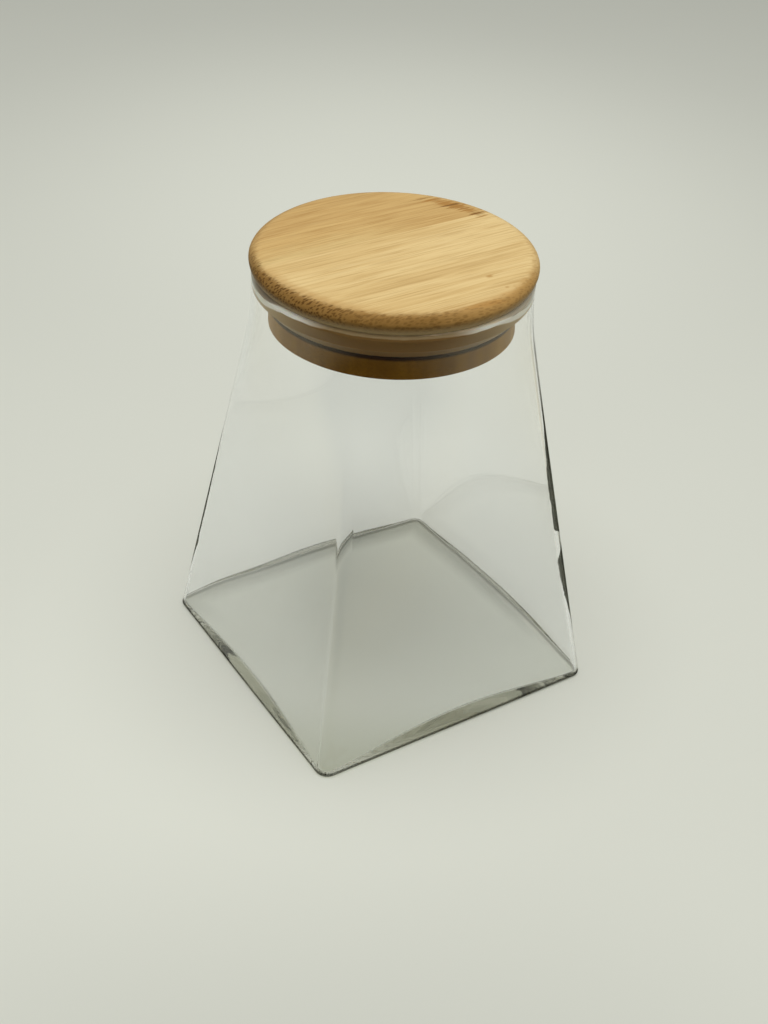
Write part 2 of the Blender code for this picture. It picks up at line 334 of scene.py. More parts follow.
def turned_corner(tree, at):
    """The outer surface of the left and right corners, where it turns away from the eye."""
    corner = tree.math("LESS_THAN", tree.math("SUBTRACT", at.outermost, at.innermost), CORNER_WIDTH)
    left_or_right = tree.math("GREATER_THAN", tree.product(at.x, at.y), 0.0)
    outward = tree.math("GREATER_THAN", tree.along(at.normal, at.point), 0.0)
    above_foot = tree.math("GREATER_THAN", at.z, RIM_LOWEST)
    turned = tree.ranged(at.facing, *RIM_FACING)
    return tree.product(corner, left_or_right, outward, at.outside, above_foot, turned,
                        tree.ranged(at.z, *RIM_TOP))


def rim_reach(tree, at):
    """How far round its corner each rim reaches, at each height. The right one has a gap."""
    left = tree.product(tree.ranged(at.z, *LEFT_RIM_TOP), tree.ranged(at.z, *LEFT_RIM_FOOT))
    right = tree.product(tree.ranged(at.z, *RIGHT_RIM_TOP), tree.ranged(at.z, *RIGHT_RIM_FOOT))
    gap = tree.product(tree.ranged(at.z, *RIGHT_GAP_FOOT), tree.ranged(at.z, *RIGHT_GAP_TOP))
    right = tree.product(right, tree.rest_of(gap))
    left = tree.math("MULTIPLY_ADD", left, LEFT_GROWTH, LEFT_LEAST)
    right = tree.math("MULTIPLY_ADD", right, RIGHT_GROWTH, RIGHT_LEAST)
    on_right = tree.math("GREATER_THAN", tree.total(at.x, at.y), 0.0)
    reach = tree.node("ShaderNodeMix", {"Factor": on_right, "A": left, "B": right}).outputs[0]
    patchy = tree.pattern(at.point, RIM_PATCHES)
    return tree.total(reach, tree.product(tree.centred(patchy), RIM_PATCHINESS))


def corner_rims(tree, at):
    """Painted shade: dark rims where the left and right corners would guide no light to the eye."""
    past = tree.math("SUBTRACT", tree.math("SUBTRACT", at.x, at.y), rim_reach(tree, at))
    return tree.product(tree.ranged(past, *RIM_END), turned_corner(tree, at))


def far_floor_shade(tree, at, up):
    """Painted shade: the inner floor darkens towards its far edges."""
    return tree.product(tree.ranged(at.outermost, *FLOOR_EDGE_OUTERMOST), tree.ranged(up, *FLOOR_EDGE_UP),
                        tree.ranged(at.ahead, *FLOOR_EDGE_AHEAD), at.outside)


def inner_heel_shade(tree, at):
    """The rounding inside the foot: dark where it leaves the wall, and fading towards the floor."""
    uneven = tree.centred(tree.noise(at.point, HEEL_PATCHES))
    up = tree.math("MULTIPLY_ADD", uneven, HEEL_PATCHINESS, at.up)
    by_wall, by_floor = (tree.product(tree.ranged(up, *fade), 0.5) for fade in HEEL_FADES)
    from_axis = tree.vector("MULTIPLY", at.point, (1, 1, 0))
    inward = tree.math("LESS_THAN", tree.along(at.normal, from_axis), 0.0)
    shade = tree.product(tree.ranged(up, *HEEL_LEAVES_WALL), tree.total(by_wall, by_floor),
                         at.outside, inward)
    shade = tree.math("MAXIMUM", shade, far_floor_shade(tree, at, up))
    return tree.product(shade, tree.math("LESS_THAN", at.z, INNER_HEEL_TOP))


def glass_tint(tree, at):
    """Clear, and darker by painted shade where the foot throws light back and forth, in its heels and at the
    rims.
    """
    thrown_back = tree.product(at.inside, tree.math("GREATER_THAN", at.facing, THROWN_BACK_FACING))
    foot = tree.product(thrown_back, tree.ranged(at.z, *FOOT_TOP))
    tint = tree.mixed(foot, GLASS_TINT, FOOT_TINT_AND_SHADE)
    edge = tree.product(tree.ranged(at.z, *FOOT_EDGE_START), tree.ranged(at.z, *FOOT_EDGE_END), thrown_back)
    tint = tree.mixed(edge, tint, FOOT_EDGE_TINT_AND_SHADE)
    # Painted shadow: a dark line along the outer heel, where it meets the table.
    beside = tree.math("LESS_THAN", at.up, HEEL_MOST_UP)
    heel = tree.product(tree.ranged(at.z, *HEEL_TOP), at.outside, beside, HEEL_STRENGTH)
    tint = tree.mixed(heel, tint, GLASS_EDGE_SHADE)
    tint = tree.mixed(corner_rims(tree, at), tint, GLASS_EDGE_SHADE)
    inner_heel = tree.product(inner_heel_shade(tree, at), INNER_HEEL_STRENGTH)
    return tree.mixed(inner_heel, tint, INNER_HEEL_SHADE_COLOUR)


def glass_passes(tree, at):
    """The share of the lamp's light that goes straight through, so that the foot shades the table."""
    passes = tree.mixed(tree.ranged(at.z, *FOOT_TO_WALL), FOOT_PASSES, WALL_PASSES)
    low = tree.product(tree.ranged(at.z, *LOW_HEIGHT), tree.ranged(at.outermost, *LOW_OUTERMOST))
    passes = tree.mixed(low, passes, HEEL_PASSES)
    near = tree.product(tree.ranged(at.ahead, *NEAR_AHEAD), tree.ranged(at.z, *NEAR_HEIGHT))
    return tree.mixed(near, passes, NEAR_PASSES)


def glass_material():
    """Clear glass, whose shadow is light and has no bright spots."""
    material, tree = new_material("clear_glass")
    at = glass_place(tree)
    colour = glass_tint(tree, at)
    glass = tree.node("ShaderNodeBsdfGlass", {"Color": colour, "Roughness": 0.0, "IOR": GLASS_IOR})
    clear = tree.node("ShaderNodeBsdfTransparent", {"Color": glass_passes(tree, at)})
    path = tree.node("ShaderNodeLightPath")
    straight = tree.math("MAXIMUM", path.outputs["Is Shadow Ray"], path.outputs["Is Diffuse Ray"])
    shader = tree.node("ShaderNodeMixShader", {0: straight, 1: glass.outputs[0], 2: clear.outputs[0]})
    tree.output(shader.outputs[0])
    return material


# The glass's shape: every point of the foot's outline runs straight to its place on the neck.

def foot_point(number):
    """A point of the foot's rounded square, and the direction that it has on the neck's circle."""
    quarter, step = divmod(number, SIDE_STEPS + CORNER_STEPS)
    centre = FOOT_SIDE / 2 - FOOT_CORNER_RADIUS
    if step < SIDE_STEPS:
        along = mix(-1, 1, step / SIDE_STEPS)
        point = np.array((FOOT_SIDE / 2, along * centre))
        angle = along * (math.pi / 4 - CORNER_SWEEP)
    else:
        share = (step - SIDE_STEPS) / CORNER_STEPS
        turned = math.pi / 2 * share
        point = centre + FOOT_CORNER_RADIUS * np.array((math.cos(turned), math.sin(turned)))
        angle = math.pi / 4 + mix(-1, 1, share) * CORNER_SWEEP
    for _ in range(quarter):
        point = np.array((-point[1], point[0]))
    angle += quarter * math.pi / 2
    return point, np.array((math.cos(angle), math.sin(angle)))


def off_corner(foot):
    """0 at the foot's corners, 1 in the middle of its sides, and smooth at both."""
    low, high = np.sort(np.abs(foot), axis=1).T
    return (1 - (low / high) ** 2) ** 2


FOOT = np.array([foot_point(number)[0] for number in range(RING_POINTS)])
NECK = NECK_RADIUS * np.array([foot_point(number)[1] for number in range(RING_POINTS)])
OFF_CORNER = off_corner(FOOT)
FLOOR_EDGE = mix(FLOOR_CORNER, FLOOR_SIDE, OFF_CORNER)
FOOT_WALL = mix(CORNER_WALL, SIDE_WALL, OFF_CORNER)
INNER_HEEL = mix(INNER_HEEL_CORNER, INNER_HEEL_SIDE, OFF_CORNER)


def loft_share(height):
    """How far the section has changed from the foot's square to the neck's circle."""
    if height <= SHOULDER_START:
        return height / LOFT_TOP
    if height >= SHOULDER_END:
        return 1.0
    return 1.0 - (SHOULDER_END - height) ** 2 / (4 * SHOULDER_BLEND * LOFT_TOP)


def normals(points):
    """The outward directions of a closed ring of points."""
    ahead = np.roll(points, -1, 0) - points
    back = points - np.roll(points, 1, 0)
    ahead_length = np.linalg.norm(ahead, axis=1)[:, None]
    back_length = np.linalg.norm(back, axis=1)[:, None]
    along = ahead * back_length / ahead_length + back * ahead_length / back_length
    outward = np.stack((along[:, 1], -along[:, 0]), 1)
    return outward / np.linalg.norm(outward, axis=1)[:, None]


def outer_ring(height, inset=0.0):
    points = mix(FOOT, NECK, loft_share(height))
    return points - normals(points) * inset


def inner_ring(heights, inset=0.0):
    """Points of the inside, at one height for each point of the ring."""
    points = np.array([mix(FOOT[k], NECK[k], loft_share(height)) for k, height in enumerate(heights)])
    share = np.clip(heights / THICK_FOOT_HEIGHT, 0, 1)
    wall = mix(FOOT_WALL, GLASS_WALL, share * share * (3 - 2 * share))
    return points - normals(points) * (wall + inset)[:, None]


def at_height(points, height):
    return np.column_stack((points, np.broadcast_to(height, RING_POINTS)))


def underside_rings():
    """The shallow hollow, out to the flat ring that the jar stands on."""
    base = outer_ring(0.0, HEEL_RADIUS)
    edge = 1 - STANDING_RING_WIDTH / (FOOT_SIDE / 2 - HEEL_RADIUS)
    shares = [step / HOLLOW_STEPS for step in range(1, HOLLOW_STEPS + 1)]
    return [at_height(base * edge * share, UNDERSIDE_HOLLOW * (1 - share ** 2)) for share in shares]


def outside_rings():
    """The heel, the wall and the shoulder."""
    heel = arc((0.0, HEEL_RADIUS), (HEEL_RADIUS, HEEL_RADIUS), -90, 0, ARC_STEPS)
    rings = [at_height(outer_ring(z, HEEL_RADIUS - x), z) for x, z in heel]
    wall = np.linspace(HEEL_RADIUS, SHOULDER_START, WALL_STEPS + 1)[1:]
    shoulder = np.linspace(SHOULDER_START, SHOULDER_END, SHOULDER_STEPS + 1)[1:]
    return rings + [at_height(outer_ring(height), height) for height in (*wall, *shoulder)]


def lip_rings():
    """The fire-polished rim."""
    radius = GLASS_WALL / 2
    lip = arc((NECK_RADIUS - radius, GLASS_HEIGHT - radius), (radius, radius), 0, 180, 2 * ARC_STEPS)
    return [at_height(NECK * distance / NECK_RADIUS, z) for distance, z in lip]


def inside_rings():
    """The shoulder and the wall inside, down to the rounding that ends on the floor."""
    rings = []
    for height in np.linspace(SHOULDER_END, SHOULDER_START, SHOULDER_STEPS + 1)[:-1]:
        rings.append(at_height(inner_ring(np.full(RING_POINTS, height)), height))
    for step in range(WALL_STEPS, -1, -1):
        heights = mix(FLOOR_EDGE + INNER_HEEL, SHOULDER_START, step / WALL_STEPS)
        rings.append(at_height(inner_ring(heights), heights))
    for x, z in arc((0.0, 1.0), (1.0, 1.0), 0, -90, ARC_STEPS)[1:]:
        heights = FLOOR_EDGE + z * INNER_HEEL
        rings.append(at_height(inner_ring(heights, (1 - x) * INNER_HEEL), heights))
    return rings


def floor_rings(edge):
    """The arched floor, from its edge in to its middle."""
    shares = [step / FLOOR_STEPS for step in range(FLOOR_STEPS - 1, 0, -1)]
    return [at_height(edge[:, :2] * share, mix(FLOOR_MIDDLE, edge[:, 2], share ** 2)) for share in shares]


def skin(name, rings, first_middle, last_middle):
    """Join rings of points by faces, and close both ends round a middle point."""
    shape = bmesh.new()
    made = [[shape.verts.new(point) for point in points] for points in rings]
    for lower, upper in zip(made, made[1:]):
        for k in range(RING_POINTS):
            following = (k + 1) % RING_POINTS
            shape.faces.new((lower[k], lower[following], upper[following], upper[k]))
    for points, middle in ((made[0], first_middle), (made[-1], last_middle)):
        hub = shape.verts.new(middle)
        for k in range(RING_POINTS):
            shape.faces.new((hub, points[k], points[(k + 1) % RING_POINTS]))
    return finish_mesh(name, clean(shape))


def clean(shape):
    bmesh.ops.remove_doubles(shape, verts=shape.verts, dist=WELD)
    bmesh.ops.recalc_face_normals(shape, faces=shape.faces)
    return shape


def finish_mesh(name, shape, sharp_angle=None):
    mesh = bpy.data.meshes.new(name)
    shape.to_mesh(mesh)
    shape.free()
    mesh.shade_smooth()
    if sharp_angle:
        mesh.set_sharp_from_angle(angle=math.radians(sharp_angle))
    return mesh


def make_glass():
    inside = inside_rings()
    rings = underside_rings() + outside_rings() + lip_rings() + inside + floor_rings(inside[-1])
    mesh = skin("jar_glass", rings, (0, 0, UNDERSIDE_HOLLOW), (0, 0, FLOOR_MIDDLE))
    add_piece("jar_glass", mesh, "jar", glass_material(), "glass_body")


# Turned pieces.

def turned_shape(outline, closed=False):
    """A closed mesh turned about the Z axis from a half section."""
    shape = bmesh.new()
    profile = [shape.verts.new((x, 0.0, z)) for x, z in outline]
    edges = [shape.edges.new(pair) for pair in zip(profile, profile[1:])]
    if closed:
        edges.append(shape.edges.new((profile[-1], profile[0])))
    bmesh.ops.spin(shape, geom=profile + edges, axis=(0, 0, 1), cent=(0, 0, 0), angle=2 * math.pi,
                   steps=TURN_STEPS, use_merge=True)
    return clean(shape)


def lifted(outline):
    return [(x, z + LID_SEAT) for x, z in outline]


# Bamboo's patterns: how often each repeats across, along and up, its detail and its roughness.
SOFT_STREAKS = ((560, 14, 560), 3.0, 0.60)
FINE_STREAKS = ((2300, 58, 2300), 3.0, 0.65)
SHORT_STREAKS = ((1300, 42, 1300), 1.5, 0.50)
BROAD_TONES = ((70, 12, 70), 2.0, 0.50)
COLUMNS = ((200, 200, 20), 2.0, 0.60)
MOTTLE = ((620, 300, 900), 2.0, 0.60)
DRIFT_SIZES = (60, 26, 60)
DRIFT = 0.0016

# Fibre bundles: how many to a metre, and how irregular. Then, along the grain and cut across it,
# how long they are drawn out, and how near its middle a bundle's dot starts and is full.
BUNDLES_PER_METRE = 1450.0
BUNDLE_DISORDER = 0.95
BUNDLES_ALONG = (0.012, 0.50, 0.24)
BUNDLES_ACROSS = (0.34, 0.56, 0.26)

# How much each pattern counts in a strip's tone, and where each kind of streak goes dark.
SOFT_COUNTS = 0.75
FINE_COUNTS = 0.50
BROAD_COUNTS = 0.55
STRIP_COUNTS = 0.10
LIGHT_TO_MID = (0.78, 1.10)
SOFT_DARK = (0.56, 0.80, 0.0, 0.55)
SHORT_DARK = (0.54, 0.68, 0.0, 0.34)
FINE_DARK = (0.53, 0.66, 0.0, 0.34)

# The disc's rim, by how far ahead and how far right it is. Its cut wood is browner, with painted shade on the
# left and in front, painted light on the right, and painted shade on its outermost part and underside.
RIM_START = (0.10, 0.92, 0.0396, 0.0375)
RIM_UNEVEN = 0.0030
RIM_GROWS = (-0.0004, 0.0022)
RIM_AHEAD = (-0.10, 0.42, 0.30, 1.0)
BY_RIM = (-0.0036, 0.0004)
BY_RIM_AHEAD = (0.25, 0.60)
BY_RIM_LEFT = (0.1, -0.5, 0.20, 0.46)
CUT_LIT = (0.12, 0.85)
CUT_UNEVEN = 0.9
CUT_STRENGTH = 0.90
OUTER_RIM_START = (0.0388, 0.0415)
OUTER_RIM_SHADE = (0.71, 0.67, 0.56, 1)
UNDER_RIM_HEIGHT = (LID_SEAT + 0.0036, LID_SEAT + 0.0014, 0.0, 0.8)
UNDER_RIM_SHADE = (0.32, 0.235, 0.120, 1)
DOTS_LEFT = (-0.10, -0.55, 0.45, 1.0)
DOTS_RIGHT = (0.15, 0.75, 1.0, 0.6)
DOTS_ON_RIM = (0.0, 0.8, 0.08, 0.88)

# Knots and patches: place across and along the grain, sizes across and along it, strength.
PALE_MARKS = (
    (0.0262, 0.0150, 0.0008, 0.0016, 0.70),
    (0.0342, 0.0158, 0.0007, 0.0012, 0.60),
    (0.0392, 0.0050, 0.0014, 0.0085, 0.75),
)
MARK_COLOUR = (0.40, 0.215, 0.060, 1)
MARK_EDGE = (1.0, 0.35)
MARK_STREAKS = -1.6

# A stain along the back edge: place across the grain, distance from the axis, and sizes both ways.
STAIN_X = -0.0160
STAIN_RADIUS = 0.0366
STAIN_SIZE_X = 0.0100
STAIN_SIZE_RADIUS = 0.0030
STAIN_EDGE = (1.0, 0.45, 0.0, 0.95)
STAIN_STREAKS = -2.2
STAIN_DOTS = 0.75
STAIN_COLOUR = (0.36, 0.18, 0.045, 1)

# The amber side is paler near the joint with the pale side.
PALER_X = (-0.020, -0.003)
PALER_Y = (0.022, -0.012)
PALER_UNEVEN = 0.5
PALE_OVER_AMBER = (1.12, 1.26, 1.45, 1)

# The plug, by height and by how far round it is from the front: painted light beside, and a painted shadow
# under the seal.
PLUG_CUT_HEIGHT = (LID_SEAT, LID_SEAT - 0.001)
PLUG_COLUMN_EDGE = (0.35, 0.65)
PLUG_COLUMNS = (0.80, 0.77, 0.72, 1)
PLUG_DOTS = 0.5
PLUG_BESIDE_START = (0.90, 0.30)
PLUG_BESIDE_LIGHT = (0.50, 0.47, 0.40, 1)
PLUG_SHADE_HEIGHT = (LID_SEAT - 0.0100, LID_SEAT - 0.0091)
SHADED_WOOD = (0.022, 0.004, 0.0002, 1)

# The wood's surface.
BUNDLE_DEPTH = -0.6
BUMP_STRENGTH = 0.12
BUMP_DISTANCE = 0.0002
WOOD_ROUGHNESS = (0.3, 0.7, 0.42, 0.58)
DISC_SPECULAR = 0.10
PLUG_SPECULAR = 0.01
WOOD_SHARP_ANGLE = 50

# The woods: tones along the grain, tones where it is cut across, of which the lit one is painted light, the
# bundles' dots, and a seed. The plug's tones are painted darker, for its shade under the disc and behind the
# glass.
AMBER_WOOD = SimpleNamespace(
    light=(0.575, 0.385, 0.152, 1), mid=(0.50, 0.315, 0.118, 1), dark=(0.34, 0.185, 0.055, 1),
    cut=(0.255, 0.137, 0.038, 1), lit_cut=(0.52, 0.315, 0.11, 1), dot=(0.075, 0.030, 0.004, 1), seed=3.1)
PALE_WOOD = SimpleNamespace(
    light=(0.69, 0.515, 0.246, 1), mid=(0.61, 0.428, 0.185, 1), dark=(0.40, 0.245, 0.085, 1),
    cut=(0.26, 0.137, 0.034, 1), lit_cut=(0.53, 0.322, 0.117, 1), dot=(0.080, 0.034, 0.005, 1), seed=7.7)
PLUG_WOOD = SimpleNamespace(
    light=(0.25, 0.13, 0.018, 1), mid=(0.19, 0.09, 0.010, 1), dark=(0.09, 0.038, 0.003, 1),
    cut=(0.19, 0.088, 0.008, 1), lit_cut=(0.19, 0.09, 0.008, 1), dot=(0.09, 0.040, 0.003, 1), seed=11.3)


def lid_place(tree):
    """Where a point of the lid is. Ahead and right are shares of the neck's and the disc's radius."""
    at = SimpleNamespace(point=tree.node("ShaderNodeTexCoord").outputs["Object"])
    at.x, at.y, at.z = tree.split(at.point)
    at.ahead = tree.math("DIVIDE", tree.along(at.point, FRONT_WAY), BORE_RADIUS)
    at.right = tree.math("DIVIDE", tree.along(at.point, RIGHT_WAY), DISC_RADIUS)
    return at


def wandering(tree, point, seed):
    """A point moved a little to and fro along the grain, so that bundles start and stop."""
    inputs = {"Vector": tree.scaled(point, DRIFT_SIZES, (seed, 0, 0)), "Scale": 1.0, "Detail": 2.0}
    drift = tree.node("ShaderNodeTexNoise", inputs).outputs["Color"]
    drift = tree.vector("SUBTRACT", drift, (0.5, 0.5, 0.5))
    return tree.vector("ADD", point, tree.vector("MULTIPLY", drift, (DRIFT, DRIFT, DRIFT)))


def bundle_dots(tree, point, kind, seed):
    drawn_out, start, full = kind
    cells = {"Vector": tree.scaled(point, (1, drawn_out, 1), (seed, seed, seed)),
             "Scale": BUNDLES_PER_METRE, "Randomness": BUNDLE_DISORDER}
    return tree.ranged(tree.node("ShaderNodeTexVoronoi", cells).outputs["Distance"], start, full)


def bamboo_grain(tree, at, seed):
    """Bamboo's real make-up: fibre bundles that run along Y, and streaks between them."""
    grain = SimpleNamespace(moved=wandering(tree, at.point, seed))
    grain.soft = tree.pattern(at.point, SOFT_STREAKS, (seed, 0, 0))
    grain.fine = tree.pattern(at.point, FINE_STREAKS, (0, seed, 0))
    grain.short = tree.pattern(at.point, SHORT_STREAKS, (seed, seed, 0))
    grain.broad = tree.pattern(at.point, BROAD_TONES, (0, 0, seed))
    grain.uneven = tree.centred(tree.pattern(at.point, MOTTLE, (seed, 0, seed)))
    grain.streaky = tree.total(tree.centred(grain.fine), tree.centred(grain.short))
    grain.sides = bundle_dots(tree, grain.moved, BUNDLES_ALONG, seed)
    grain.ends = bundle_dots(tree, grain.moved, BUNDLES_ACROSS, seed)
    return grain


def streaked(tree, at, grain, wood):
    """The colour along the grain, with one tone for each glued strip."""
    index = tree.math("FLOOR", tree.math("DIVIDE", tree.total(at.x, STRIP_OFFSET), STRIP_WIDTH))
    tone = tree.node("ShaderNodeTexWhiteNoise", {"W": tree.total(index, wood.seed)}, noise_dimensions="1D")
    share = tree.total(tree.product(grain.soft, SOFT_COUNTS), tree.product(grain.fine, FINE_COUNTS),
                       tree.product(grain.broad, BROAD_COUNTS),
                       tree.product(tone.outputs["Value"], STRIP_COUNTS))
    colour = tree.mixed(tree.ranged(share, *LIGHT_TO_MID), wood.light, wood.mid)
    for streak, band in ((grain.soft, SOFT_DARK), (grain.short, SHORT_DARK), (grain.fine, FINE_DARK)):
        colour = tree.mixed(tree.ranged(streak, *band), colour, wood.dark)
    return colour


def cut_across(tree, at, grain, wood, rim, colour):
    """Where the bundles are cut across, the wood is browner; painted shade makes it darkest on the left and
    in front, and painted light makes it lighter on the right.
    """
    lit = tree.total(tree.ranged(at.right, *CUT_LIT), tree.product(grain.uneven, CUT_UNEVEN))
    cut = tree.mixed(tree.ranged(lit, 0.0, 1.0, kind="LINEAR"), wood.cut, wood.lit_cut)
    return tree.mixed(tree.product(rim, CUT_STRENGTH), colour, cut)


def bundles_seen(tree, grain, rim):
    """The bundles' sides on the disc's top, and their ends on its rim."""
    return tree.math("MAXIMUM", tree.product(grain.ends, rim), tree.product(grain.sides, tree.rest_of(rim)))


def dot_strength(tree, at, rim):
    """Bundles are faint along the grain and strong across it."""
    return tree.product(tree.ranged(at.right, *DOTS_LEFT), tree.ranged(at.right, *DOTS_RIGHT),
                        tree.ranged(rim, *DOTS_ON_RIM))


def turned_rim(tree, at, grain):
    """How far out a point of the disc is, how far into its rounded rim, and how near to it."""
    radius = tree.length(tree.node("ShaderNodeCombineXYZ", {"X": at.x, "Y": at.y}).outputs[0])
    into = tree.math("SUBTRACT", radius, tree.ranged(at.ahead, *RIM_START))
    into = tree.total(into, tree.product(grain.uneven, RIM_UNEVEN))
    rim = tree.product(tree.ranged(into, *RIM_GROWS), tree.ranged(at.ahead, *RIM_AHEAD))
    by_rim = tree.product(tree.ranged(into, *BY_RIM), tree.ranged(at.ahead, *BY_RIM_AHEAD))
    return radius, rim, by_rim


def rim_colour(tree, at, radius, rim, by_rim, colour):
    """The wood just inside the rim is browner, and the rim's outermost part is darker, a painted shade."""
    browner = tree.product(by_rim, tree.rest_of(rim), tree.ranged(at.right, *BY_RIM_LEFT))
    colour = tree.mixed(browner, colour, MARK_COLOUR)
    outermost = tree.product(rim, tree.ranged(radius, *OUTER_RIM_START))
    return tree.mixed(outermost, colour, tree.times(colour, OUTER_RIM_SHADE))


def marked(tree, grain, marks, colour):
    for mark_x, mark_y, size_x, size_y, strength in marks:
        away = tree.scaled(grain.moved, (1 / size_x, 1 / size_y, 0), (-mark_x / size_x, -mark_y / size_y, 0))
        away = tree.math("MULTIPLY_ADD", grain.streaky, MARK_STREAKS, tree.length(away))
        colour = tree.mixed(tree.ranged(away, *MARK_EDGE, 0.0, strength), colour, MARK_COLOUR)
    return colour


def edge_stain(tree, at, grain, radius):
    """A streaky stain along the disc's back edge."""
    sideways = tree.math("DIVIDE", tree.math("SUBTRACT", at.x, STAIN_X), STAIN_SIZE_X)
    outwards = tree.math("DIVIDE", tree.math("SUBTRACT", radius, STAIN_RADIUS), STAIN_SIZE_RADIUS)
    away = tree.length(tree.node("ShaderNodeCombineXYZ", {"X": sideways, "Y": outwards}).outputs[0])
    away = tree.math("MULTIPLY_ADD", grain.streaky, STAIN_STREAKS, away)
    return tree.product(tree.ranged(away, *STAIN_EDGE), tree.math("GREATER_THAN", at.y, 0.0))


def paler_by_joint(tree, at, grain, colour):
    near_joint = tree.total(tree.ranged(at.x, *PALER_X), tree.product(grain.uneven, PALER_UNEVEN))
    share = tree.product(near_joint, tree.ranged(at.y, *PALER_Y))
    return tree.mixed(share, colour, tree.times(colour, PALE_OVER_AMBER))


def wood_surface(tree, grain, bundles, colour, specular):
    height = tree.total(tree.product(bundles, BUNDLE_DEPTH), grain.fine)
    bump = {"Height": height, "Strength": BUMP_STRENGTH, "Distance": BUMP_DISTANCE}
    bump = tree.node("ShaderNodeBump", bump).outputs[0]
    rough = tree.ranged(grain.fine, *WOOD_ROUGHNESS, "LINEAR")
    surface = {"Base Color": colour, "Roughness": rough, "Normal": bump, "Specular IOR Level": specular}
    tree.output(tree.node("ShaderNodeBsdfPrincipled", surface).outputs[0])


def disc_material(name, wood, marks=(), pale_side=False):
    """The bamboo of the disc's strips."""
    material, tree = new_material(name)
    at = lid_place(tree)
    grain = bamboo_grain(tree, at, wood.seed)
    radius, rim, by_rim = turned_rim(tree, at, grain)
    colour = cut_across(tree, at, grain, wood, rim, streaked(tree, at, grain, wood))
    colour = rim_colour(tree, at, radius, rim, by_rim, colour)
    colour = marked(tree, grain, marks, colour)
    stain = edge_stain(tree, at, grain, radius)
    colour = tree.mixed(stain, colour, STAIN_COLOUR)
    bundles = bundles_seen(tree, grain, rim)
    dotted = tree.math("MAXIMUM", dot_strength(tree, at, rim), tree.product(stain, STAIN_DOTS))
    colour = tree.mixed(tree.product(bundles, dotted), colour, wood.dot)
    if pale_side:
        colour = paler_by_joint(tree, at, grain, colour)
    # Painted shade on the underside of the disc's rim.
    colour = tree.mixed(tree.ranged(at.z, *UNDER_RIM_HEIGHT), colour, UNDER_RIM_SHADE)
    wood_surface(tree, grain, bundles, colour, DISC_SPECULAR)
    return material


def plug_material():
    """The bamboo of the plug: painted darker brown for its shade, with painted light beside, and a painted
    shadow, nearly black, under the seal.
    """
    material, tree = new_material("plug_bamboo")
    at = lid_place(tree)
    grain = bamboo_grain(tree, at, PLUG_WOOD.seed)
    cut = tree.ranged(at.z, *PLUG_CUT_HEIGHT)
    colour = cut_across(tree, at, grain, PLUG_WOOD, cut, streaked(tree, at, grain, PLUG_WOOD))
    columns = tree.ranged(tree.pattern(at.point, COLUMNS, (PLUG_WOOD.seed, 0, 0)), *PLUG_COLUMN_EDGE)
    colour = tree.mixed(columns, colour, tree.times(colour, PLUG_COLUMNS))
    bundles = bundles_seen(tree, grain, cut)
    dotted = tree.product(bundles, dot_strength(tree, at, cut), PLUG_DOTS)
    colour = tree.mixed(dotted, colour, PLUG_WOOD.dot)
    # Painted light: the plug is lighter beside.
    beside = tree.ranged(tree.math("ABSOLUTE", at.ahead), *PLUG_BESIDE_START)
    colour = tree.mixed(beside, colour, tree.mixed(1.0, colour, PLUG_BESIDE_LIGHT, "DIVIDE"))
    # Painted shadow under the seal, nearly black.
    colour = tree.mixed(tree.ranged(at.z, *PLUG_SHADE_HEIGHT), colour, SHADED_WOOD)
    wood_surface(tree, grain, bundles, colour, PLUG_SPECULAR)
    return material


def disc_outline():
    upper = arc((DISC_RADIUS - DISC_TOP_ROUNDING, DISC_WIDEST_HEIGHT),
                (DISC_TOP_ROUNDING, DISC_THICKNESS - DISC_WIDEST_HEIGHT), 90, 0, DISC_TOP_STEPS)
    lower = arc((DISC_RADIUS - DISC_LOWER_ROUNDING, DISC_WIDEST_HEIGHT),
                (DISC_LOWER_ROUNDING, DISC_WIDEST_HEIGHT), 0, -90, DISC_LOWER_STEPS)
    return lifted([(0.0, DISC_THICKNESS)] + upper + lower[1:] + [(0.0, 0.0)])


def keep_between(shape, left, right):
    """Cut away what lies left of one plane across X and right of another, and close the cuts."""
    for limit, outward in ((left, -1), (right, 1)):
        geometry = shape.verts[:] + shape.edges[:] + shape.faces[:]
        cut = bmesh.ops.bisect_plane(shape, geom=geometry, plane_co=(limit, 0, 0), plane_no=(outward, 0, 0),
                                     clear_outer=True, dist=WELD / 10)
        rim = [item for item in cut["geom_cut"] if isinstance(item, bmesh.types.BMEdge)]
        if rim:
            bmesh.ops.edgeloop_fill(shape, edges=rim)


def make_strips():
    amber = disc_material("amber_bamboo", AMBER_WOOD, pale_side=True)
    pale = disc_material("pale_bamboo", PALE_WOOD, PALE_MARKS)
    joints = [k * STRIP_WIDTH - STRIP_OFFSET for k in range(FIRST_JOINT, LAST_JOINT + 1)]
    edges = [-2 * DISC_RADIUS] + joints + [2 * DISC_RADIUS]
    for number, (left, right) in enumerate(zip(edges, edges[1:]), start=1):
        shape = turned_shape(disc_outline())
        keep_between(shape, left, right)
        mesh = finish_mesh(f"bamboo_strip_{number:02d}", shape, WOOD_SHARP_ANGLE)
        slot, material = ("amber_bamboo", amber) if number <= AMBER_STRIPS else ("pale_bamboo", pale)
        add_piece(f"bamboo_strip_{number:02d}", mesh, "lid", material, f"lid_strip_{number:02d}")


